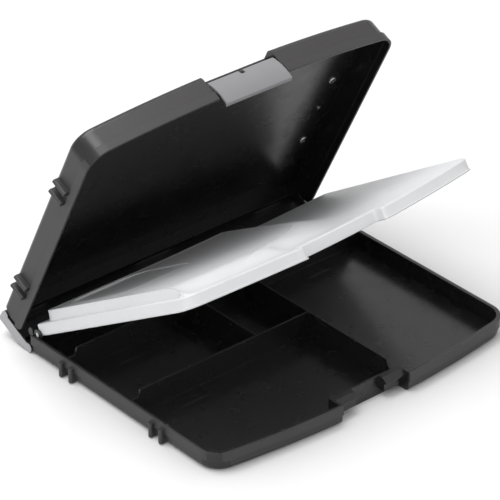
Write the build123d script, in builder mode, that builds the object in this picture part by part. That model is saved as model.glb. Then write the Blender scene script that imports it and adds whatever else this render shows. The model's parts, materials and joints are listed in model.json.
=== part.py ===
"""Storage clipboard box: base tray, hinged lid with paper clip, spine, inner tray and latch.

Frame: millimetres, +Z up, origin at the centre of the base's underside, +X to the clip end,
+Y to the hinge side.  Every part is drawn as it sits in the closed box and is then swung about
its own hinge axis to the half-open display pose.
"""
import os
from build123d import *

# ---- overall sizes ----
LENGTH = 336.0        # base and lid, end to end
DEPTH = 243.0         # straight side walls, hinge edge to front corner line
BOW = 14.0            # bulge of the front edge beyond the corner line
BASE_H = 19.0         # base underside to rim
LID_H = 28.0          # lid rim to the writing face
WALL = 2.0            # wall of both shells
FLOOR = 2.0           # floor of the base and roof of the lid
CORNER_R = 22.0       # front corners in plan
EDGE_R = 5.0          # rounding between walls and the two big faces
STEP = 1.5            # the rim bands stand this far proud of the walls
RIM_GAP = 0.3         # air between the two rims when closed
DIV_T = 1.8           # moulded dividers
DIV_RISE = 6.0        # dividers stand above the rim, inside the inner tray
LATCH_X = 0.75        # centre of the latch recess along the front
LATCH_W = 71.5
RECESS_W = 75.5
RECESS_D = 15.7       # recess depth behind the middle of the bowed front
PIN_D = 2.4           # spine hinge rods
KNUCKLE_R = 4.2
FIT = 0.05            # radial running clearance on every rod and stub

# ---- display pose ----
LID_OPEN = 63.4
TRAY_OPEN = 31.0
LATCH_OPEN = 9.0

# ---- derived levels and edges ----
HW = LENGTH / 2
YR = DEPTH / 2
YF = -DEPTH / 2
Y_RECESS = YF - BOW + RECESS_D
Z_RIM = BASE_H + RIM_GAP
Z_TOP = Z_RIM + LID_H
LOW_AXIS = (YR + 4.5, 4.5)
TOP_AXIS = (YR + 3.5, Z_TOP - 6.0)
TRAY_AXIS = (YR - 4.5, BASE_H + 1.5)
INNER = WALL + STEP
EAR_T = 1.3

# hinge knuckles along X: fixed leaves (base, lid) and the spine share the same rods
FIXED_KNUCKLES = [(-0.89 * HW, -0.72 * HW), (-20.0, 20.0), (0.72 * HW, 0.89 * HW)]
SPINE_KNUCKLES = [(-HW + 0.4, -0.89 * HW - 0.8), (-0.72 * HW + 0.8, -20.8),
                  (20.8, 0.72 * HW - 0.8), (0.89 * HW + 0.8, HW - 0.4)]


def span(x0, x1, y0, y1, z0, z1, mode=Mode.ADD):
    """Axis-aligned block given by its six faces."""
    with Locations(((x0 + x1) / 2, (y0 + y1) / 2, (z0 + z1) / 2)):
        Box(x1 - x0, y1 - y0, z1 - z0, mode=mode)


def rod(axis, x0, x1, radius, mode=Mode.ADD):
    """Cylinder along X about a hinge axis given as (y, z)."""
    with Locations(Location(((x0 + x1) / 2, axis[0], axis[1]), (0, 90, 0))):
        Cylinder(radius, x1 - x0, mode=mode)


def side_plane(x):
    """Sketch plane facing +X whose local axes are Y and Z."""
    return Plane(origin=(x, 0, 0), x_dir=(0, 1, 0), z_dir=(1, 0, 0))


def front_plane(y):
    """Sketch plane facing -Y whose local axes are X and Z."""
    return Plane(origin=(0, y, 0), x_dir=(1, 0, 0), z_dir=(0, -1, 0))


def plan(z, inset=0.0, rear=0.0, height=1.0, mode=Mode.ADD, keep_out=None):
    """Extrude the bowed plan outline up from z.

    inset moves it in from the walls, rear moves it in from the hinge edge, keep_out is a
    rectangle (x0, x1, y1) around the latch recess that is left untouched.
    """
    half = HW - inset
    front = YF + inset
    with BuildSketch(Plane.XY.offset(z)) as outline:
        with BuildLine():
            Polyline((-half, front), (-half, YR - rear), (half, YR - rear), (half, front))
            ThreePointArc((half, front), (0, YF - BOW + inset), (-half, front))
        make_face()
        fillet(outline.vertices().sort_by(Axis.Y)[:2], CORNER_R - inset)
        if keep_out:
            x0, x1, y1 = keep_out
            with Locations(((x0 + x1) / 2, y1 - 50)):
                Rectangle(x1 - x0, 100, mode=Mode.SUBTRACT)
    extrude(outline.sketch, amount=height, mode=mode)


def profile(plane, points, thickness, mode=Mode.ADD, rounded=(), radius=1.0):
    """Extrude a closed polygon from a plane; rounded lists the corners to round."""
    with BuildSketch(plane) as face:
        with BuildLine():
            Polyline(*points, close=True)
        make_face()
        if rounded:
            corners = [face.vertices().sort_by_distance(points[i])[0] for i in rounded]
            fillet(corners, radius)
    extrude(face.sketch, amount=thickness, mode=mode)


def round_off(x0, x1, y, z, radius):
    """Round the lower rear corner (y, z) of a side wall between x0 and x1."""
    with BuildSketch(side_plane(x0)) as corner:
        with Locations((y - radius / 2 + 0.5, z + radius / 2 - 0.5)):
            Rectangle(radius + 1, radius + 1)
        with Locations((y - radius, z + radius)):
            Circle(radius, mode=Mode.SUBTRACT)
    extrude(corner.sketch, amount=x1 - x0, mode=Mode.SUBTRACT)


def standing_ribs(ys, z0, z1):
    """Half-round feet on the left end so the closed box can stand upright."""
    for y in ys:
        with BuildSketch(Plane.XY.offset(z0)) as foot:
            with Locations((-HW - 1.0, y)):
                Rectangle(6.0, 4.4)
            fillet(foot.vertices().sort_by(Axis.X)[:2], 2.0)
        extrude(foot.sketch, amount=z1 - z0)


RX0 = LATCH_X - RECESS_W / 2
RX1 = LATCH_X + RECESS_W / 2
DIV_TOP = BASE_H + DIV_RISE
DIV_LOW = BASE_H - 0.8
Y_FRONT_DIV = -0.0514 * DEPTH
Y_REAR_DIV = YR - 48.4
X_CROSS = 0.19 * HW
X_SHORT = -0.164 * HW
Y_FRONT_END = Y_RECESS + INNER

# ================= base =================
with BuildPart() as base_tray:
    plan(0, STEP, 0, 10.0)
    fillet(base_tray.edges().group_by(Axis.Z)[0].sort_by(Axis.Y)[:-1], EDGE_R)
    plan(10.0, 0, 0, BASE_H - 10.0)
    plan(FLOOR, INNER, WALL, BASE_H, Mode.SUBTRACT, (RX0 - WALL, RX1 + WALL, Y_RECESS + WALL))
    span(RX0, RX1, YF - 60, Y_RECESS, -1, BASE_H + 1, Mode.SUBTRACT)
    # catch blocks at both ends of the recess: ramped top, nose for the latch lip
    for x0, x1 in [(RX0 - 0.5, RX0 + 21.5), (RX1 - 22.0, RX1 + 0.5)]:
        profile(side_plane(x0), [(Y_RECESS + 1, 6), (Y_RECESS - 6.6, 6), (Y_RECESS - 6.6, 13.6),
                                 (Y_RECESS - 9.2, 14.2), (Y_RECESS - 9.2, 15.6),
                                 (Y_RECESS - 4.0, BASE_H), (Y_RECESS + 1, BASE_H)], x1 - x0)
    # long dividers, stepped down at the walls to clear the skirt of the inner tray
    left, right = -HW + INNER - 0.5, HW - INNER + 0.5
    step_in = [(left, 1.0), (left, DIV_LOW), (left + 8, DIV_LOW), (left + 10, DIV_TOP)]
    profile(front_plane(Y_FRONT_DIV + DIV_T), step_in + [(X_CROSS + 0.5, DIV_TOP), (X_CROSS + 0.5, 1.0)],
            DIV_T)
    profile(front_plane(Y_REAR_DIV + DIV_T), step_in + [(right - 10, DIV_TOP), (right - 8, DIV_LOW),
                                                        (right, DIV_LOW), (right, 1.0)], DIV_T)
    # cross dividers
    profile(side_plane(X_CROSS), [(Y_REAR_DIV + 0.5, 1.0), (Y_REAR_DIV + 0.5, DIV_TOP),
                                  (Y_FRONT_END + 4.3, DIV_TOP), (Y_FRONT_END + 1.9, DIV_LOW + 1),
                                  (Y_FRONT_END + 1.2, DIV_LOW), (Y_FRONT_END - 1.5, DIV_LOW),
                                  (Y_FRONT_END - 1.5, 1.0)], DIV_T)
    profile(side_plane(X_SHORT), [(Y_REAR_DIV + 0.5, 1.0), (Y_REAR_DIV + 0.5, DIV_TOP),
                                  (Y_FRONT_DIV + 0.5, DIV_TOP), (Y_FRONT_DIV + 0.5, 1.0)], DIV_T)
    span(X_SHORT - 20.6, X_SHORT - 19.4, Y_REAR_DIV - 29, Y_REAR_DIV + 0.5, 1.0, 7.0)
    # gussets bracing the long cross divider and a seam rib on the front one
    for y in (-0.175 * DEPTH, -0.325 * DEPTH):
        profile(front_plane(y), [(X_CROSS + 0.2, 1.0), (X_CROSS - 3.0, 1.0), (X_CROSS + 0.2, 17.0)], 1.2)
    span(-0.708 * HW - 0.3, -0.708 * HW + 0.3, Y_FRONT_DIV - 0.3, Y_FRONT_DIV + 0.5, 1.0, DIV_TOP - 0.5)
    # raised outlines of the label fields beside the dividers
    for x0, x1, y1 in [(-0.74 * HW, -0.56 * HW, Y_FRONT_DIV - 0.5),
                       (-0.74 * HW, -0.545 * HW, Y_REAR_DIV - 0.5),
                       (0.563 * HW, 0.717 * HW, Y_REAR_DIV - 0.5)]:
        span(x0, x1, y1 - 15.5, y1 - 14.8, 1.5, FLOOR + 0.4)
        span(x0, x0 + 0.7, y1 - 15.5, y1 + 1, 1.5, FLOOR + 0.4)
        span(x1 - 0.7, x1, y1 - 15.5, y1 + 1, 1.5, FLOOR + 0.4)
    standing_ribs((63.5, 76.5, -44.0, -57.0), 1.3, 14.8)
    # ears at the rear corners that carry the stubs of the inner tray
    for side in (-1, 1):
        a, b = sorted((side * (HW - INNER - 0.4 - EAR_T), side * (HW - INNER - 0.4)))
        profile(side_plane(a), [(YR - 10.5, 1.0), (YR - 10.5, DIV_TOP + 0.5), (YR - 0.2, DIV_TOP + 0.5),
                                (YR - 0.2, 1.0)], b - a, Mode.ADD, (1, 2), 4.5)
        c, d = sorted((side * (HW - INNER - 1.0), side * (HW - INNER + 0.5)))
        span(c, d, YR - 10.5, YR - 1.0, 1.0, BASE_H - 1.0)
        rod(TRAY_AXIS, a - 1, b + 1, 2.0 + FIT, Mode.SUBTRACT)
    # hook that grows back from the left ear, between the lid wall and the spine liner
    profile(side_plane(-HW + INNER + 0.4),
            [(YR - 1.0, 10.0), (YR + 4.2, 14.0), (YR + 8.2, 17.2), (YR + 8.2, 20.6), (YR + 5.2, 24.0),
             (YR + 2.6, 22.5), (YR + 1.6, 18.0), (YR - 1.0, 17.0)], EAR_T, Mode.ADD, (2, 3, 4), 1.2)
    # knuckles of the lower hinge
    for x0, x1 in FIXED_KNUCKLES:
        rod(LOW_AXIS, x0, x1, KNUCKLE_R)
        span(x0, x1, YR - 1.0, LOW_AXIS[0], LOW_AXIS[1] - KNUCKLE_R, LOW_AXIS[1] + KNUCKLE_R)
        rod(LOW_AXIS, x0 - 1, x1 + 1, PIN_D / 2 + FIT, Mode.SUBTRACT)

# ================= spine =================
SPINE_OUT = LOW_AXIS[0] + 8.3
with BuildPart() as spine_cover:
    profile(side_plane(-HW), [(LOW_AXIS[0] + 4.0, LOW_AXIS[1] - 1.0), (LOW_AXIS[0] + 5.0, LOW_AXIS[1] + 2.0),
                              (SPINE_OUT, 16.0), (SPINE_OUT, Z_TOP - 3.0), (SPINE_OUT - 0.8, Z_TOP - 1.2),
                              (SPINE_OUT - 2.0, Z_TOP - 1.2), (SPINE_OUT - 2.0, 16.4),
                              (LOW_AXIS[0] + 2.2, 7.4), (LOW_AXIS[0] + 2.2, LOW_AXIS[1])], LENGTH)
    for x0, x1 in FIXED_KNUCKLES:
        rod(LOW_AXIS, x0 - 0.8, x1 + 0.8, KNUCKLE_R + 0.5, Mode.SUBTRACT)
    for x0, x1 in SPINE_KNUCKLES:
        rod(LOW_AXIS, x0, x1, KNUCKLE_R)
        rod(TOP_AXIS, x0, x1, KNUCKLE_R)
        span(x0, x1, TOP_AXIS[0], SPINE_OUT - 1.0, TOP_AXIS[1] - 1.5, TOP_AXIS[1] + 1.5)
    # plates that close both ends of the spine over the rods
    for x0, x1 in [(-HW, -HW + WALL), (HW - WALL, HW)]:
        profile(side_plane(x0), [(LOW_AXIS[0] + 2.0, LOW_AXIS[1] - 3.6),
                                 (LOW_AXIS[0] + 5.0, LOW_AXIS[1] + 2.0), (SPINE_OUT, 16.0),
                                 (SPINE_OUT, Z_TOP - 3.0), (SPINE_OUT - 2.2, Z_TOP - 0.9),
                                 (TOP_AXIS[0] + 1.0, TOP_AXIS[1] + 4.1), (YR + 2.2, TOP_AXIS[1] - 2.0),
                                 (YR + 2.2, 9.0), (LOW_AXIS[0] - 3.0, LOW_AXIS[1] + 2.9)], x1 - x0)
        rod(LOW_AXIS, x0, x1, KNUCKLE_R)
        rod(TOP_AXIS, x0, x1, KNUCKLE_R)
    for axis in (LOW_AXIS, TOP_AXIS):
        rod(axis, -HW + WALL, HW - WALL, PIN_D / 2, Mode.SUBTRACT)

with BuildPart() as spine_liner:
    span(-HW + WALL + 0.1, HW - WALL - 0.1, SPINE_OUT - 3.6, SPINE_OUT - 2.0, 16.6, TOP_AXIS[1] - 7.6)

with BuildPart() as lower_rod:
    rod(LOW_AXIS, -HW + WALL, HW - WALL, PIN_D / 2)

with BuildPart() as upper_rod:
    rod(TOP_AXIS, -HW + WALL, HW - WALL, PIN_D / 2)

# ================= lid =================
LATCH_AXIS = (Y_RECESS - 10.2, Z_RIM + 17.6)
with BuildPart() as lid_shell:
    plan(Z_RIM + 8.0, STEP, 3.7, LID_H - 8.0)
    fillet(lid_shell.edges().group_by(Axis.Z)[-1].sort_by(Axis.Y)[:-1], EDGE_R)
    plan(Z_RIM, 0, 0, 8.0)
    # side walls run on behind the rear wall
    for side in (-1, 1):
        a, b = sorted((side * (HW - INNER), side * (HW - STEP)))
        span(a, b, YR - 5, YR, Z_RIM + 7, Z_TOP - EDGE_R)
        e, f = sorted((side * (HW + 1), side * (HW - INNER - 1)))
        round_off(e, f, YR, Z_RIM, 6.0)
    ko = (RX0 - WALL, RX1 + WALL, Y_RECESS + WALL)
    plan(Z_RIM - 1, WALL, -5, 7.5, Mode.SUBTRACT, ko)
    plan(Z_RIM + 6, INNER, 5.7, LID_H - FLOOR - 6, Mode.SUBTRACT, ko)
    span(-HW + INNER, HW - INNER, YR - 30, YR + 1, Z_RIM - 1, Z_RIM + 15.4, Mode.SUBTRACT)
    span(-HW + INNER, HW - INNER, YR - 3.7, YR + 1, Z_RIM - 1, Z_TOP + 1, Mode.SUBTRACT)
    span(RX0, RX1, YF - 60, Y_RECESS, Z_RIM - 1, Z_TOP + 1, Mode.SUBTRACT)
    # the walls round the latch recess stop short of the rim, the front wall runs on
    span(RX0 - WALL, RX1 + WALL, YF - BOW + INNER + 0.7, Y_RECESS + WALL, Z_RIM - 1, Z_RIM + 8.0,
         Mode.SUBTRACT)
    ribs_top = Z_TOP - 2.5
    standing_ribs((70.0, 82.0, -51.0, -64.0), Z_RIM + 9.0, ribs_top)
    for x0, x1 in FIXED_KNUCKLES:
        rod(TOP_AXIS, x0, x1, KNUCKLE_R)
        span(x0, x1, YR - 4.5, TOP_AXIS[0], TOP_AXIS[1] - KNUCKLE_R, TOP_AXIS[1] + KNUCKLE_R)
        rod(TOP_AXIS, x0 - 1, x1 + 1, PIN_D / 2 + FIT, Mode.SUBTRACT)
    for x0, x1 in (SPINE_KNUCKLES[0], SPINE_KNUCKLES[-1]):
        rod(TOP_AXIS, x0 - 2, x1 + 2, KNUCKLE_R + 0.6, Mode.SUBTRACT)
    # boss on the latch hinge line, seen through the notch of the latch
    span(LATCH_X - 1.6, LATCH_X + 1.6, LATCH_AXIS[0], Y_RECESS + 0.5, LATCH_AXIS[1] - 1.8,
         LATCH_AXIS[1] + 1.8)
    rod(LATCH_AXIS, LATCH_X - 1.6, LATCH_X + 1.6, 2.3)
    rod(LATCH_AXIS, RX0 - 3, RX1 + 3, 1.0, Mode.SUBTRACT)

# ================= latch =================
LX0 = LATCH_X - LATCH_W / 2
LX1 = LATCH_X + LATCH_W / 2
LY, LZ = LATCH_AXIS
LATCH_TIP = BASE_H - 7.5
with BuildPart() as latch:
    with BuildSketch(side_plane(LX0)) as blade:
        with BuildLine():
            face = ThreePointArc((LY - 2.4, LZ + 0.6), (LY - 3.9, LZ - 12), (LY - 1.6, LATCH_TIP))
            back = ThreePointArc((LY + 0.2, LATCH_TIP + 1.4), (LY - 2.0, LZ - 12), (LY, LZ))
            Polyline(face @ 1, (LY + 2.0, LATCH_TIP), (LY + 2.0, LATCH_TIP + 1.0), back @ 0)
            Polyline(back @ 1, (LY, LZ + 2.5), face @ 0)
        make_face()
    extrude(blade.sketch, amount=LATCH_W)
    rod(LATCH_AXIS, LX0, LX1, 2.5)
    span(LATCH_X - 2.4, LATCH_X + 2.4, LY - 6, LY + 3, LZ - 3.2, LZ + 4, Mode.SUBTRACT)
    rod(LATCH_AXIS, LX0 - 1, LX1 + 1, 1.0 + FIT, Mode.SUBTRACT)

with BuildPart() as latch_pin:
    rod(LATCH_AXIS, RX0 - WALL, RX1 + WALL, 1.0)

# ================= inner tray =================
TRAY_T = 1.6
TRAY_IN = INNER + 2.1
TRAY_REAR = 7.5
TRAY_Z0 = BASE_H - 0.4
TRAY_Z1 = TRAY_Z0 + 10.8
TRAY_Z2 = TRAY_Z1 + 8.8
NOTCH_X0, NOTCH_X1, NOTCH_Y = RX0 - 5.0, RX1 + 6.5, Y_RECESS + 2.6


def plateau_outline(z, grow, slide):
    """Swoosh-shaped outline of the raised field; slide pushes its front and right edge outward."""
    left, rear = -HW + TRAY_IN + 4.0 - grow, YR - 22.0 + grow
    with BuildSketch(Plane.XY.offset(z)) as outline:
        with BuildLine():
            start = (0.25 * HW + grow + slide, rear)
            end = (left, YF + 12.0 - grow)      # inside the rounded front corner
            Polyline(end, (left, rear), start)
            Spline(start, (0.17 * HW + grow + 1.1 * slide, 0.02 * DEPTH - 0.3 * slide),
                   (-0.08 * HW + 0.9 * slide, -0.30 * DEPTH - grow - 0.8 * slide),
                   (-0.50 * HW, -0.435 * DEPTH - grow - 0.35 * slide), end)
        make_face()
    return outline.sketch


with BuildPart() as inner_tray:
    plan(TRAY_Z0, TRAY_IN, TRAY_REAR, TRAY_Z1 - TRAY_Z0)
    plan(TRAY_Z0, TRAY_IN - 1.3, TRAY_REAR + 6.0, 1.2)
    loft([plateau_outline(TRAY_Z1, 0.4, 22.0), plateau_outline(TRAY_Z2, 0.0, 0.0)])
    plan(TRAY_Z0 - 1, TRAY_IN + TRAY_T, TRAY_REAR + TRAY_T, TRAY_Z1 - TRAY_Z0 - TRAY_T + 1, Mode.SUBTRACT,
         (NOTCH_X0 - TRAY_T, NOTCH_X1 + TRAY_T, NOTCH_Y + TRAY_T))
    loft([plateau_outline(TRAY_Z1 - TRAY_T - 0.1, -1.4, 20.0), plateau_outline(TRAY_Z2 - TRAY_T, -1.8, -2.0)],
         mode=Mode.SUBTRACT)
    span(NOTCH_X0, NOTCH_X1, YF - 60, NOTCH_Y, TRAY_Z0 - 1, TRAY_Z2 + 1, Mode.SUBTRACT)
    # shallow well on the raised field
    with BuildSketch(Plane.XY.offset(TRAY_Z2)) as well:
        with Locations((-0.62 * HW, 0.185 * DEPTH)):
            RectangleRounded(0.5 * HW, 0.39 * DEPTH, 18.0)
    extrude(well.sketch, amount=-0.7, mode=Mode.SUBTRACT)
    for side in (-1, 1):
        a, b = sorted((side * (HW - TRAY_IN), side * (HW - TRAY_IN - TRAY_T)))
        span(a, b, YR - TRAY_REAR - 6, TRAY_AXIS[0], TRAY_AXIS[1] - 1.9, TRAY_AXIS[1] + 2.6)
        rod(TRAY_AXIS, a, b, 2.6)
        c, d = sorted((side * (HW - TRAY_IN - 0.5), side * (HW - INNER - 0.35)))
        rod(TRAY_AXIS, c, d, 2.0)

# ================= paper clip on the writing face =================
CLIP_X = HW - 22.0
CLIP_Y = 2.0
CLIP_L = 104.0
STEEL_T = 1.2
CLIP_AXIS_Z = Z_TOP + 5.6
RIVETS = [(CLIP_X + 2.0, CLIP_Y + 42.5), (CLIP_X + 2.0, CLIP_Y - 42.5)]
STUD = (CLIP_X + 2.0, CLIP_Y - 3.6)


def pegs(places, radius, z0, z1, mode=Mode.ADD):
    """Upright cylinders at the given plan positions."""
    with Locations(*[(x, y, (z0 + z1) / 2) for x, y in places]):
        Cylinder(radius, z1 - z0, mode=mode)


def cross_rod(y0, y1, radius, mode=Mode.ADD):
    """Cylinder along Y on the clip axis."""
    with Locations(Location((CLIP_X, (y0 + y1) / 2, CLIP_AXIS_Z), (90, 0, 0))):
        Cylinder(radius, y1 - y0, mode=mode)


with BuildPart(mode=Mode.PRIVATE) as rivet_holes:
    pegs(RIVETS, 2.3, Z_TOP - 5, Z_TOP + 5)
    pegs([STUD], 1.3, Z_TOP - 5, Z_TOP + 5)

with BuildPart() as lid_drilled:
    add(lid_shell.part)
    add(rivet_holes.part, mode=Mode.SUBTRACT)

with BuildPart() as clip_plate:
    with BuildSketch(Plane.XY.offset(Z_TOP)) as sole:
        with Locations((CLIP_X - 2.0, CLIP_Y)):
            RectangleRounded(32.0, CLIP_L, 4.0)
    extrude(sole.sketch, amount=STEEL_T)
    for y in (CLIP_Y - CLIP_L / 2 + STEEL_T, CLIP_Y + CLIP_L / 2):
        profile(front_plane(y), [(CLIP_X - 9, Z_TOP), (CLIP_X - 3.5, CLIP_AXIS_Z + 3.2),
                                 (CLIP_X + 3.5, CLIP_AXIS_Z + 3.2), (CLIP_X + 9, Z_TOP)], STEEL_T,
                Mode.ADD, (1, 2), 2.5)
    cross_rod(CLIP_Y - CLIP_L, CLIP_Y + CLIP_L, 1.5, Mode.SUBTRACT)
    add(rivet_holes.part, mode=Mode.SUBTRACT)

with BuildPart() as clip_rivets:
    pegs(RIVETS, 2.3, Z_TOP - FLOOR - 1.0, Z_TOP + STEEL_T + 0.9)
    pegs(RIVETS, 4.0, Z_TOP + STEEL_T, Z_TOP + STEEL_T + 0.9)
    pegs(RIVETS, 3.9, Z_TOP - FLOOR - 1.0, Z_TOP - FLOOR)
    fillet(clip_rivets.edges().filter_by(GeomType.CIRCLE).group_by(Axis.Z)[0], 0.6)
    pegs(RIVETS, 1.3, Z_TOP - FLOOR - 2, Z_TOP + STEEL_T + 2, Mode.SUBTRACT)

with BuildPart() as clip_stud:
    pegs([STUD], 1.3, Z_TOP - FLOOR - 0.8, Z_TOP + STEEL_T + 0.6)
    pegs([STUD], 2.2, Z_TOP + STEEL_T, Z_TOP + STEEL_T + 0.6)
    pegs([STUD], 2.0, Z_TOP - FLOOR - 0.8, Z_TOP - FLOOR)

with BuildPart() as clip_rod:
    cross_rod(CLIP_Y - CLIP_L / 2 - 0.8, CLIP_Y + CLIP_L / 2 + 0.8, 1.5)

LEVER_L = CLIP_L - 2 * STEEL_T - 1.0
with BuildPart() as clip_lever:
    cx, cz = CLIP_X, CLIP_AXIS_Z
    profile(front_plane(CLIP_Y + LEVER_L / 2),
            [(cx - 28.5, cz - 3.0), (cx - 28.5, cz - 1.2), (cx - 24, cz + 2.2), (cx - 12, cz + 5.2),
             (cx + 5, cz + 5.2), (cx + 14, cz + 2.9), (cx + 20.5, cz + 3.6), (cx + 20.5, cz + 4.8),
             (cx + 14, cz + 4.2), (cx + 5, cz + 6.5), (cx - 12.3, cz + 6.5), (cx - 24.6, cz + 3.4),
             (cx - 29.7, cz - 0.7), (cx - 29.7, cz - 3.0)], LEVER_L)
    for y in (CLIP_Y - LEVER_L / 2 + STEEL_T, CLIP_Y + LEVER_L / 2):
        profile(front_plane(y), [(cx - 11, cz + 5.8), (cx - 3.4, cz - 2.6), (cx + 3.4, cz - 2.6),
                                 (cx + 7, cz + 5.8)], STEEL_T, Mode.ADD, (1, 2), 2.0)
    cross_rod(CLIP_Y - CLIP_L, CLIP_Y + CLIP_L, 1.5 + FIT, Mode.SUBTRACT)

with BuildPart() as clip_grip:
    span(cx - 30.6, cx - 27.7, CLIP_Y - LEVER_L / 2 + 3, CLIP_Y + LEVER_L / 2 - 3, Z_TOP + 0.1, cz - 1.8)
    span(cx - 29.7, cx - 28.5, CLIP_Y - LEVER_L / 2, CLIP_Y + LEVER_L / 2, cz - 3.0, cz, Mode.SUBTRACT)

WIRE_R = 0.5
COIL_R = 2.4
COIL_L = 9.2
LEG_DOWN = CLIP_AXIS_Z - Z_TOP - STEEL_T - 0.1    # down to the plate
LEG_UP = 5.1                                      # up to the underside of the lever
with BuildPart() as clip_springs:
    for y in (CLIP_Y - 22.0, CLIP_Y + 22.0):
        with BuildLine() as spring_wire:
            coil = Helix(pitch=COIL_L / 8, height=COIL_L, radius=COIL_R)
            foot = coil @ 0 - (coil % 0) * LEG_DOWN
            Line(foot, coil @ 0)
            Line(coil @ 1, coil @ 1 + (coil % 1) * LEG_UP)
        with BuildSketch(Plane(origin=foot, z_dir=coil % 0)) as wire_section:
            Circle(WIRE_R)
        spring = sweep(wire_section.sketch, path=spring_wire.wires()[0], mode=Mode.PRIVATE)
        add(Location((cx, y + COIL_L / 2, cz), (90, 0, 0)) * spring)

# ================= pose the pieces as the open clipboard stands =================


def turned(shape, axis, degrees):
    """Swing a piece open about a hinge line that runs along X through the given (y, z)."""
    return shape.rotate(Axis((0, axis[0], axis[1]), (1, 0, 0)), -degrees)


with_lid = {
    "spine_cover": spine_cover.part, "spine_liner": spine_liner.part, "lower_rod": lower_rod.part,
    "upper_rod": upper_rod.part, "lid_shell": lid_drilled.part, "latch_pin": latch_pin.part,
    "latch": turned(latch.part, LATCH_AXIS, LATCH_OPEN), "clip_plate": clip_plate.part,
    "clip_rivets": clip_rivets.part, "clip_stud": clip_stud.part, "clip_rod": clip_rod.part,
    "clip_lever": clip_lever.part, "clip_grip": clip_grip.part, "clip_springs": clip_springs.part,
}
pieces = {label: turned(shape, LOW_AXIS, LID_OPEN) for label, shape in with_lid.items()}
pieces["base_tray"] = base_tray.part
pieces["inner_tray"] = turned(inner_tray.part, TRAY_AXIS, TRAY_OPEN)

os.makedirs("parts", exist_ok=True)
for label, shape in pieces.items():
    shape.label = label
    export_step(shape, f"parts/{label}.step")
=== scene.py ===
"""Looks of the storage clipboard: materials, inner tray mesh, floor, light and camera.

Everything is in metres in the CAD frame.  Sizes in the tray section are millimetres of the closed
box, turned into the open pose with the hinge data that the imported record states.
"""
import json
import math

import bmesh
import bpy
from mathutils import Euler, Matrix, Vector
from mathutils.geometry import delaunay_2d_cdt


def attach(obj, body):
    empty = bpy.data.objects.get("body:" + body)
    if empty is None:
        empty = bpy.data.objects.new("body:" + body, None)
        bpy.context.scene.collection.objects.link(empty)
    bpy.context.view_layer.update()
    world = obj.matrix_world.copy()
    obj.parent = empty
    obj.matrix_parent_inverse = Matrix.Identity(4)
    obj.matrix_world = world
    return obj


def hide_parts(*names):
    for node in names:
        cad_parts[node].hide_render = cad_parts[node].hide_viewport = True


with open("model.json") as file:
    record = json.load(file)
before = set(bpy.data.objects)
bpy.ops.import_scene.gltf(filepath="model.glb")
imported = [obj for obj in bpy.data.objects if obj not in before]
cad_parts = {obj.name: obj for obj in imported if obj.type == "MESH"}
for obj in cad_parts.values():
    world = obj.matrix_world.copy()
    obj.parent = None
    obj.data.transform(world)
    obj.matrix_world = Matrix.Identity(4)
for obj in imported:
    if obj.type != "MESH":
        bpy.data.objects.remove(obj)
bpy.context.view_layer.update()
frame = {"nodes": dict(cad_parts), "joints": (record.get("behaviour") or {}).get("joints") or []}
nodes = frame["nodes"]
joints = {joint["name"]: joint for joint in frame["joints"]}

MM = 0.001
LENGTH, DEPTH, BOW = 336.0, 243.0, 14.0
HALF, REAR, FRONT = LENGTH / 2, DEPTH / 2, -DEPTH / 2


# ---------------------------------------------------------------- placing
def opened(joint_name):
    """Matrix that swings closed-box geometry to the open rest pose about a hinge of the record."""
    joint = joints[joint_name]
    centre = Matrix.Translation(Vector(joint["pos_m"]))
    angle = math.radians(joint["range_deg"][0])
    return centre @ Matrix.Rotation(angle, 4, "X") @ centre.inverted()


LID_OPEN = opened("spine_hinge")
TRAY_OPEN = opened("tray_hinge")


# ---------------------------------------------------------------- shader helpers
def new_material(name):
    """Material, its node tree and its principled shader."""
    material = bpy.data.materials.new(name)
    material.use_nodes = True
    tree = material.node_tree
    return material, tree, tree.nodes["Principled BSDF"]


def add_node(tree, kind, **values):
    """New shader node; values set its properties or, failing that, its inputs by name."""
    node = tree.nodes.new(kind)
    for key, value in values.items():
        if hasattr(node, key):
            setattr(node, key, value)
        else:
            node.inputs[key.replace("_", " ")].default_value = value
    return node


def link(tree, source, target):
    tree.links.new(source, target)


def object_point(tree):
    return add_node(tree, "ShaderNodeTexCoord").outputs["Object"]


def noise(tree, point, scale, detail=4.0, roughness=0.55):
    node = add_node(tree, "ShaderNodeTexNoise", Scale=scale, Detail=detail, Roughness=roughness)
    link(tree, point, node.inputs["Vector"])
    return node.outputs["Fac"]


def remap(tree, value, low, high, to_low, to_high):
    node = add_node(tree, "ShaderNodeMapRange")
    for name, number in zip(("From Min", "From Max", "To Min", "To Max"), (low, high, to_low, to_high)):
        node.inputs[name].default_value = number
    link(tree, value, node.inputs["Value"])
    return node.outputs["Result"]


def blend_colours(tree, factor, first, second):
    """Mix of two colours; each is an RGB tuple or a colour output."""
    node = add_node(tree, "ShaderNodeMix", data_type="RGBA")
    link(tree, factor, node.inputs["Factor"])
    for socket, colour in (("A", first), ("B", second)):
        target = [s for s in node.inputs if s.name == socket and s.type == "RGBA"][0]
        if isinstance(colour, tuple):
            target.default_value = (*colour, 1.0)
        else:
            link(tree, colour, target)
    return [s for s in node.outputs if s.type == "RGBA"][0]


def blend_values(tree, factor, first, second):
    node = add_node(tree, "ShaderNodeMix", data_type="FLOAT")
    link(tree, factor, node.inputs["Factor"])
    for socket, value in (("A", first), ("B", second)):
        target = [s for s in node.inputs if s.name == socket and s.type == "VALUE"][0]
        if isinstance(value, (int, float)):
            target.default_value = value
        else:
            link(tree, value, target)
    return [s for s in node.outputs if s.type == "VALUE"][0]


def bump(tree, height, strength, distance, normal=None):
    node = add_node(tree, "ShaderNodeBump", Strength=strength, Distance=distance)
    link(tree, height, node.inputs["Height"])
    if normal:
        link(tree, normal, node.inputs["Normal"])
    return node.outputs["Normal"]


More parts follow.
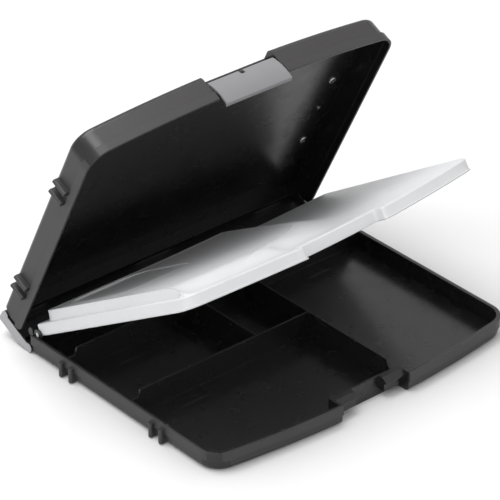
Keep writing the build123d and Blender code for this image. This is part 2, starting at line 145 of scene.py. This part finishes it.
def soft_edges(tree, radius):
    """Normals of slightly rounded edges, as moulded plastic has."""
    return add_node(tree, "ShaderNodeBevel", samples=4, Radius=radius).outputs["Normal"]


def maths(tree, operation, *values):
    node = add_node(tree, "ShaderNodeMath", operation=operation)
    for socket, value in zip(node.inputs, values):
        if isinstance(value, (int, float)):
            socket.default_value = value
        else:
            link(tree, value, socket)
    return node.outputs[0]


def closed_point(tree, place):
    """X, Y and Z of the shading point in the closed box, before place swung it open."""
    turn = add_node(tree, "ShaderNodeVectorRotate", rotation_type="EULER_XYZ", invert=True)
    turn.inputs["Rotation"].default_value = place.to_euler()
    shift = add_node(tree, "ShaderNodeVectorMath", operation="SUBTRACT")
    link(tree, object_point(tree), shift.inputs[0])
    shift.inputs[1].default_value = place.translation
    link(tree, shift.outputs[0], turn.inputs["Vector"])
    split = add_node(tree, "ShaderNodeSeparateXYZ")
    link(tree, turn.outputs["Vector"], split.inputs[0])
    return split.outputs


def inside_mask(tree, place, low, high):
    """1 on the inner faces of a shell: its own plan outline moved in, between two levels."""
    x, y, z = closed_point(tree, place)
    inset = 1.75 * MM        # between the outer wall faces at 1.5 and the rim's inner faces at 2.0
    within_x = maths(tree, "LESS_THAN", maths(tree, "ABSOLUTE", x), HALF * MM - inset)
    relative = maths(tree, "DIVIDE", x, HALF * MM)
    bulge = maths(tree, "MULTIPLY_ADD", maths(tree, "MULTIPLY", relative, relative), BOW * MM,
                  (FRONT - BOW) * MM + inset)
    within_front = maths(tree, "GREATER_THAN", y, bulge)
    above = maths(tree, "GREATER_THAN", z, low * MM)
    below = maths(tree, "LESS_THAN", z, high * MM)
    mask = maths(tree, "MULTIPLY", within_x, within_front)
    return maths(tree, "MULTIPLY", mask, maths(tree, "MULTIPLY", above, below))


# ---------------------------------------------------------------- materials
def charcoal_shell(name, place, low, high):
    """Spark-textured charcoal plastic outside, polished mould finish inside, where a far darker copy of the
    charcoal is painted shade.
    """
    material, tree, shader = new_material(name)
    point = object_point(tree)
    inside = inside_mask(tree, place, low, high)
    cloud = noise(tree, point, 18.0, 5.0)
    grain = noise(tree, point, 2600.0, 2.0, 0.7)
    outside_colour = blend_colours(tree, cloud, (0.024, 0.022, 0.023), (0.032, 0.030, 0.0315))
    # Inner faces: the same charcoal much darker, painted shade inside the shell rather than a different
    # plastic
    shaded_inside_colour = blend_colours(tree, cloud, (0.0065, 0.006, 0.006), (0.011, 0.010, 0.010))
    link(tree, blend_colours(tree, inside, outside_colour, shaded_inside_colour), shader.inputs["Base Color"])
    smear = noise(tree, point, 55.0, 6.0, 0.6)
    outside_rough = remap(tree, grain, 0.3, 0.7, 0.44, 0.56)
    inside_rough = remap(tree, smear, 0.3, 0.7, 0.20, 0.30)
    link(tree, blend_values(tree, inside, outside_rough, inside_rough), shader.inputs["Roughness"])
    outside = maths(tree, "MULTIPLY_ADD", inside, -1.0, 1.0)
    height = maths(tree, "MULTIPLY", grain, outside)
    link(tree, bump(tree, height, 0.25, 0.0001, soft_edges(tree, 0.0006)), shader.inputs["Normal"])
    return material


def moulded(name, dark, light, rough, grain_scale=1800.0, grain_depth=0.00006, edge=0.0004):
    """Plain injection-moulded plastic with faint cloudiness and a fine grain."""
    material, tree, shader = new_material(name)
    point = object_point(tree)
    link(tree, blend_colours(tree, noise(tree, point, 30.0, 5.0), dark, light), shader.inputs["Base Color"])
    grain = noise(tree, point, grain_scale, 2.0, 0.6)
    link(tree, remap(tree, noise(tree, point, 90.0, 5.0), 0.3, 0.7, rough - 0.05, rough + 0.06),
         shader.inputs["Roughness"])
    link(tree, bump(tree, grain, 0.3, grain_depth, soft_edges(tree, edge)), shader.inputs["Normal"])
    return material


def spine_plastic(name, outer_face):
    """Silver plastic on the outside of the spine and black inside it.

    outer_face is the closed-box Y of the upright outer face.  Below it the spine slants in towards
    the lower rod, so the black starts a set depth behind whichever of the two lies further in.
    """
    depth, slope, slant_start, end_face = 1.0, 0.344, 6.5, 0.6
    material, tree, shader = new_material(name)
    point = object_point(tree)
    x, y, z = closed_point(tree, LID_OPEN)
    slanted = maths(tree, "MULTIPLY_ADD", z, slope, (outer_face - slant_start) * MM)
    limit = maths(tree, "MINIMUM", slanted, (outer_face - depth) * MM)
    deep = maths(tree, "LESS_THAN", y, limit)
    within = maths(tree, "LESS_THAN", maths(tree, "ABSOLUTE", x), (HALF - end_face) * MM)
    inside = maths(tree, "MULTIPLY", deep, within)
    cloud = noise(tree, point, 30.0, 5.0)
    silver_colour = blend_colours(tree, cloud, (0.27, 0.27, 0.28), (0.33, 0.33, 0.34))
    black_colour = blend_colours(tree, cloud, (0.006, 0.006, 0.006), (0.012, 0.012, 0.012))
    link(tree, blend_colours(tree, inside, silver_colour, black_colour), shader.inputs["Base Color"])
    link(tree, remap(tree, noise(tree, point, 90.0, 5.0), 0.3, 0.7, 0.32, 0.44), shader.inputs["Roughness"])
    link(tree, soft_edges(tree, 0.0004), shader.inputs["Normal"])
    return material


def metal(name, dark, light, rough, stretch):
    """Bright metal with drawing lines; stretch scales the noise per axis, small along the lines."""
    material, tree, shader = new_material(name)
    mapping = add_node(tree, "ShaderNodeMapping")
    mapping.inputs["Scale"].default_value = stretch
    link(tree, object_point(tree), mapping.inputs["Vector"])
    lines = noise(tree, mapping.outputs["Vector"], 900.0, 4.0, 0.6)
    link(tree, blend_colours(tree, lines, dark, light), shader.inputs["Base Color"])
    link(tree, remap(tree, lines, 0.3, 0.7, rough - 0.06, rough + 0.08), shader.inputs["Roughness"])
    link(tree, bump(tree, lines, 0.15, 0.00003, soft_edges(tree, 0.0002)), shader.inputs["Normal"])
    shader.inputs["Metallic"].default_value = 1.0
    return material


def frosted(name):
    """Milky polypropylene: lets light through and shows a soft gloss."""
    material, tree, shader = new_material(name)
    point = object_point(tree)
    link(tree, blend_colours(tree, noise(tree, point, 14.0, 4.0), (0.72, 0.725, 0.74), (0.78, 0.785, 0.80)),
         shader.inputs["Base Color"])
    link(tree, remap(tree, noise(tree, point, 60.0, 5.0), 0.3, 0.7, 0.34, 0.42), shader.inputs["Roughness"])
    shader.inputs["Transmission Weight"].default_value = 0.30
    shader.inputs["IOR"].default_value = 1.49
    return material


def dress(node_name, material, smooth_angle=32.0):
    """Give a CAD node its material and smooth shading below the given edge angle."""
    piece = nodes[node_name]
    piece.data.materials.clear()
    piece.data.materials.append(material)
    for polygon in piece.data.polygons:
        polygon.material_index = 0
    piece.data.shade_smooth()
    piece.data.set_sharp_from_angle(angle=math.radians(smooth_angle))


dress("base_tray", charcoal_shell("base_charcoal", Matrix.Identity(4), 1.5, 26.0))
dress("lid_shell", charcoal_shell("lid_charcoal", LID_OPEN, 19.35, 46.3))
dress("spine_cover", spine_plastic("silver_plastic", REAR + 12.8))
dress("spine_liner", moulded("liner_black", (0.010, 0.010, 0.010), (0.02, 0.02, 0.02), 0.30))
dress("latch", moulded("latch_pale", (0.17, 0.17, 0.178), (0.20, 0.20, 0.21), 0.38))
rod_steel = metal("rod_steel", (0.50, 0.49, 0.48), (0.66, 0.65, 0.64), 0.28, (0.03, 1.0, 1.0))
for rod in ("lower_rod", "upper_rod", "latch_pin", "clip_rod"):
    dress(rod, rod_steel)
plated = metal("plated_steel", (0.62, 0.62, 0.61), (0.76, 0.755, 0.75), 0.18, (1.0, 0.05, 0.05))
for part in ("clip_plate", "clip_lever"):
    dress(part, plated)
bright = metal("rivet_metal", (0.70, 0.69, 0.68), (0.82, 0.81, 0.80), 0.22, (1.0, 1.0, 1.0))
for part in ("clip_rivets", "clip_stud", "clip_springs"):
    dress(part, bright)
dress("clip_grip", moulded("grip_rubber", (0.016, 0.016, 0.016), (0.03, 0.03, 0.03), 0.62, 1500.0, 0.00010))


# ---------------------------------------------------------------- inner tray
SKIRT_LOW, LEDGE, FIELD = 18.6, 29.4, 38.2        # levels of the closed box
TRAY_IN = 5.6                                     # tray inside the box outline
TRAY_REAR = REAR - 7.5
EDGE_ROUND = 1.5
SHEET = 1.6
NOTCH = (-42.0, 45.0, -117.2)                     # latch notch: left, right, rear
CORNER = 16.4
FIELD_LEFT = -HALF + TRAY_IN + 4.0
RAMP = 46.0                                       # widest run of the ramp below the field
FRONT_FALL = 24.0                                 # run over which the field falls to the front ledge
BEAD = 0.35                                       # low bead along the edges of field and well
BEAD_WIDTH = 0.9
WELL_DEPTH = 1.3
STEEP_RUN = 1.2                                   # nearly upright field walls at the left and rear
GRID = 4.5                                        # spacing of the inner mesh points
LIP_END = 108.0                                   # the lip of the skirt stops short of the hinge
TRAY_HINGE = (REAR - 4.5, 20.5)


def arc(centre, radius, start, end, steps=8):
    """Points of an arc, angles in degrees."""
    turn = (end - start) / steps
    return [(centre[0] + radius * math.cos(math.radians(start + turn * i)),
             centre[1] + radius * math.sin(math.radians(start + turn * i))) for i in range(steps + 1)]


def front_line(x):
    """Front edge of the tray: the box's bow, moved in."""
    return FRONT - BOW * (1 - (x / HALF) ** 2) + TRAY_IN


def subdivide(points, step):
    """Closed polyline with no segment longer than step."""
    result = []
    for a, b in zip(points, points[1:] + points[:1]):
        a, b = Vector(a), Vector(b)
        count = max(1, math.ceil((b - a).length / step))
        result += [a.lerp(b, i / count) for i in range(count)]
    return result


def tray_outline():
    """Counter-clockwise plan outline of the tray with the latch notch."""
    side = HALF - TRAY_IN
    left, right, rear = NOTCH
    corner_y = front_line(side - CORNER) + CORNER * 1.02
    slope = math.degrees(math.atan(2 * BOW * (side - CORNER) / HALF ** 2))
    points = [(-side, TRAY_REAR)]
    points += arc((-side + CORNER, corner_y), CORNER, 180, 270 - slope)
    points += [(x, front_line(x)) for x in [left - 84 + 12 * i for i in range(7)]]
    points += arc((left - 3, front_line(left) + 3), 3, 270, 360, 4)
    points += arc((left + 3, rear - 3), 3, 180, 90, 4)
    points += arc((right - 3, rear - 3), 3, 90, 0, 4)
    points += arc((right + 3, front_line(right) + 3), 3, 180, 270, 4)
    points += [(x, front_line(x)) for x in [right + 12 + 12 * i for i in range(7)]]
    points += arc((side - CORNER, corner_y), CORNER, 270 + slope, 360)
    points += [(side, TRAY_REAR)]
    return subdivide(points, 6.0)


def outward(points):
    """Unit normals of a counter-clockwise closed outline, averaged at its corners."""
    normals = []
    for before, here, after in zip(points[-1:] + points[:-1], points, points[1:] + points[:1]):
        a, b = (here - before).normalized(), (after - here).normalized()
        na, nb = Vector((a.y, -a.x)), Vector((b.y, -b.x))
        mean = (na + nb).normalized()
        normals.append(mean / max(0.5, mean.dot(na)))
    return normals


def swoosh():
    """Outline of the raised field: straight at the left and rear, a long S at the front and right."""
    curve = [(-151, -117), (-125, -122), (-95, -113), (-47, -91), (-11, -72), (8, -52), (18, -30),
             (24, 0), (29, 32), (35, 70), (40, 100)]
    points = []
    for i in range(len(curve) - 1):
        p = [Vector(curve[max(0, min(len(curve) - 1, i + k))]) for k in (-1, 0, 1, 2)]
        for s in range(6):
            t = s / 6
            square = 2 * p[0] - 5 * p[1] + 4 * p[2] - p[3]
            cube = 3 * p[1] - p[0] - 3 * p[2] + p[3]
            points.append(0.5 * (2 * p[1] + (p[2] - p[0]) * t + square * t ** 2 + cube * t ** 3))
    points.append(Vector(curve[-1]))
    points += [Vector((FIELD_LEFT + 6, 100)), Vector((FIELD_LEFT + 1.5, 98)), Vector((FIELD_LEFT, 93))]
    points += [Vector((FIELD_LEFT, -110)), Vector((FIELD_LEFT + 2, -115.5))]
    return subdivide([tuple(p) for p in points], 5.0)


def grown(points, amount):
    return [p + n * amount for p, n in zip(points, outward(points))]


def nearest(point, outline, closed=True):
    """Distance from a point to an outline, which is closed unless told otherwise."""
    best = 1e9
    for a, b in zip(outline, outline[1:] + outline[:1] if closed else outline[1:]):
        run = b - a
        t = max(0.0, min(1.0, (point - a).dot(run) / run.length_squared))
        best = min(best, (point - a - run * t).length)
    return best


def contains(point, outline):
    inside = False
    for a, b in zip(outline, outline[1:] + outline[:1]):
        if (a.y > point.y) != (b.y > point.y):
            if point.x < (b.x - a.x) * (point.y - a.y) / (b.y - a.y) + a.x:
                inside = not inside
    return inside


def smooth(t):
    t = max(0.0, min(1.0, t))
    return t * t * (3 - 2 * t)


def well_outline():
    """Shallow rounded recess on the raised field."""
    low_x, high_x, low_y, high_y, r = -146.0, -62.0, -3.0, 92.0, 20.0
    points = arc((low_x + r, low_y + r), r, 180, 270)
    points += arc((high_x - r, low_y + r), r, 270, 360)
    points += arc((high_x - r, high_y - r), r, 0, 90)
    points += arc((low_x + r, high_y - r), r, 90, 180)
    return subdivide(points, 5.0)


def add_pivots(mesh):
    """Boss and stub at both rear ends of the skirt, on the tray's own hinge line."""
    face = HALF - TRAY_IN
    boss = (3.4, face - 2.4, face + 0.05)
    stub = (2.0, face, HALF - 3.85)
    for side in (-1, 1):
        for radius, start, end in (boss, stub):
            middle = Vector((side * (start + end) / 2, *TRAY_HINGE))
            place = Matrix.Translation(middle) @ Matrix.Rotation(math.pi / 2, 4, "Y")
            bmesh.ops.create_cone(mesh, cap_ends=True, segments=32, radius1=radius, radius2=radius,
                                  depth=end - start, matrix=place)


def lift(point):
    """The thin sheet is twisted: its right end stands higher, most of all at the front."""
    first_x, run, most, power, loss, hinge_y = -42.0, 204.0, 11.5, 1.5, 0.57, 100.0
    along = max(0.0, point.x - first_x) / run
    back = max(0.0, point.y - FRONT) / (REAR - FRONT)
    near_hinge = smooth((point.y - hinge_y) / 14.0)
    return most * along ** power * (1.0 - loss * back) * (1.0 - near_hinge * 0.5)


def raised(point, field, well):
    """Level of the field with its well, and of the slopes that lead down from it to the ledge."""
    gap = nearest(point, field)
    bead = BEAD * (1 - smooth(gap / BEAD_WIDTH))
    if contains(point, field):
        well_gap = nearest(point, well)
        fade = 1 - smooth((point.x + 95) / 60)
        level = FIELD + bead + BEAD * (0.35 + 0.65 * fade) * (1 - smooth(well_gap / BEAD_WIDTH))
        return level - WELL_DEPTH * fade * smooth(well_gap / BEAD_WIDTH) if contains(point, well) else level
    if point.x < FIELD_LEFT + 3 or point.y > 99.5:
        return FIELD + BEAD - (FIELD + BEAD - LEDGE) * smooth(gap / STEEP_RUN)
    drop = 1 - max(0.0, 1 - gap / RAMP) ** 1.35
    return FIELD + bead - (FIELD + bead - LEDGE) * smooth(drop)


def sheet_points(edge, field, well):
    """Triangulated plan of the sheet: its outlines kept as edges, with a grid between them."""
    loops = [edge, field, grown(field, 0.6), grown(field, -0.9), grown(field, 1.4), well, grown(well, -0.9)]
    points, constraints = [], []
    for loop in loops:
        start = len(points)
        points += loop
        count = len(loop)
        constraints += [(start + i, start + (i + 1) % count) for i in range(count)]
    for i in range(int(LENGTH / GRID) + 1):
        for j in range(int((DEPTH + BOW) / GRID) + 1):
            point = Vector((-HALF + i * GRID, FRONT - BOW + j * GRID))
            if contains(point, edge) and nearest(point, edge) > 1.5 and nearest(point, field) > 2.2:
                points.append(point)
    flat, _, faces, _, _, _ = delaunay_2d_cdt(points, constraints, [], 1, 1e-4)
    return flat, faces


def hang_skirt(mesh, ring, outline):
    """Rounded upper edge and skirt below the sheet, flared to a lip except at notch and hinge."""
    left, right, _ = NOTCH
    normals = outward(outline)
    plain = [p.y > LIP_END or (left - 1 < p.x < right + 1 and p.y > front_line(p.x) + 1) for p in outline]
    profile = []
    for angle in (22.5, 45, 67.5, 90):
        turn = math.radians(angle)
        profile.append((-EDGE_ROUND * (1 - math.sin(turn)), LEDGE - EDGE_ROUND * (1 - math.cos(turn))))
    profile += [(0.15, SKIRT_LOW + 1.9), (0.35, SKIRT_LOW + 1.35), (1.2, SKIRT_LOW + 1.1), (1.25, SKIRT_LOW)]
    for out, level in profile:
        lower = [mesh.verts.new((*(p + n * (min(out, 0.0) if bare else out)), level))
                 for p, n, bare in zip(outline, normals, plain)]
        for i in range(len(ring)):
            k = (i + 1) % len(ring)
            mesh.faces.new((ring[i], lower[i], lower[k], ring[k]))
        ring = lower


def make_inner_tray():
    """The thin moulded sheet of the inner tray, in place of the CAD shell."""
    outline = tray_outline()
    field = swoosh()
    well = well_outline()
    edge = [p - n * EDGE_ROUND for p, n in zip(outline, outward(outline))]
    front_side = [p for p in outline if p.y < -60 and abs(p.x) < 150]

    def height(point):
        """Level of the sheet: the raised part falls back to the ledge along the front edge."""
        away = nearest(point, front_side, False) - EDGE_ROUND
        return LEDGE + (raised(point, field, well) - LEDGE) * smooth(away / FRONT_FALL)

    flat, faces = sheet_points(edge, field, well)
    mesh = bmesh.new()
    top = [mesh.verts.new((p.x, p.y, height(p))) for p in flat]
    for face in faces:
        centre = sum((flat[i] for i in face), Vector((0, 0))) / len(face)
        if contains(centre, edge):
            mesh.faces.new([top[i] for i in face])
    mesh.verts.ensure_lookup_table()
    ring = [min(top, key=lambda v, p=p: (v.co.xy - p).length_squared) for p in edge]
    hang_skirt(mesh, ring, outline)
    for vertex in mesh.verts:
        vertex.co.z += lift(vertex.co)
    add_pivots(mesh)
    bmesh.ops.recalc_face_normals(mesh, faces=mesh.faces)
    data = bpy.data.meshes.new("inner_tray_shell")
    mesh.to_mesh(data)
    mesh.free()
    data.transform(TRAY_OPEN @ Matrix.Scale(MM, 4))
    tray = bpy.data.objects.new("inner_tray_shell", data)
    bpy.context.scene.collection.objects.link(tray)
    data.materials.append(frosted("frosted_plastic"))
    wall = tray.modifiers.new("wall", "SOLIDIFY")
    wall.thickness = SHEET * MM
    wall.offset = -1.0
    data.shade_smooth()
    data.set_sharp_from_angle(angle=math.radians(38))
    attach(tray, "tray")
    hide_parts("inner_tray")


make_inner_tray()


# ---------------------------------------------------------------- floor, light, camera
def make_floor():
    """Plain pale floor."""
    mesh = bmesh.new()
    bmesh.ops.create_grid(mesh, x_segments=2, y_segments=2, size=6.0)
    data = bpy.data.meshes.new("floor")
    mesh.to_mesh(data)
    mesh.free()
    floor = bpy.data.objects.new("floor", data)
    bpy.context.scene.collection.objects.link(floor)
    material, tree, shader = new_material("floor_white")
    cloud = noise(tree, object_point(tree), 2.0)
    shade = blend_colours(tree, cloud, (0.70, 0.70, 0.70), (0.72, 0.72, 0.72))
    link(tree, shade, shader.inputs["Base Color"])
    shader.inputs["Roughness"].default_value = 0.75
    data.materials.append(material)


def softbox(name, place, target, size, power):
    """Rectangular area light aimed at target."""
    light = bpy.data.lights.new(name, "AREA")
    light.shape = "RECTANGLE"
    light.size, light.size_y = size
    light.energy = power
    lamp = bpy.data.objects.new(name, light)
    lamp.location = place
    lamp.rotation_euler = (Vector(target) - Vector(place)).to_track_quat("-Z", "Y").to_euler()
    bpy.context.scene.collection.objects.link(lamp)


def make_camera():
    """Long lens from the front left, looking down on the open box."""
    azimuth, elevation, distance = math.radians(-40.73), math.radians(30.9), 2.70
    target = Vector((-0.0234, 0.0005, 0.1033))
    back = Vector((math.sin(azimuth) * math.cos(elevation), -math.cos(azimuth) * math.cos(elevation),
                   math.sin(elevation)))
    data = bpy.data.cameras.new("camera")
    data.sensor_width = 36.0
    data.lens = 229.7
    data.clip_end = 50.0
    camera = bpy.data.objects.new("camera", data)
    camera.location = target + back * distance
    camera.rotation_euler = Euler((math.pi / 2 - elevation, 0.0, azimuth))
    bpy.context.scene.collection.objects.link(camera)
    bpy.context.scene.camera = camera


def make_light():
    """White surroundings, a large light above the hinge side and a small one from the left."""
    scene = bpy.context.scene
    world = bpy.data.worlds.new("studio")
    world.use_nodes = True
    world.node_tree.nodes["Background"].inputs["Color"].default_value = (1.0, 1.0, 1.0, 1.0)
    world.node_tree.nodes["Background"].inputs["Strength"].default_value = 0.85
    scene.world = world
    scene.view_settings.view_transform = "Standard"
    centre = (0.0, 0.0, 0.08)
    softbox("top_light", (-0.3, 0.5, 1.9), centre, (1.8, 1.4), 34.0)
    softbox("left_light", (-2.0, -0.6, 1.2), centre, (1.2, 1.2), 9.0)


make_floor()
make_light()
make_camera()
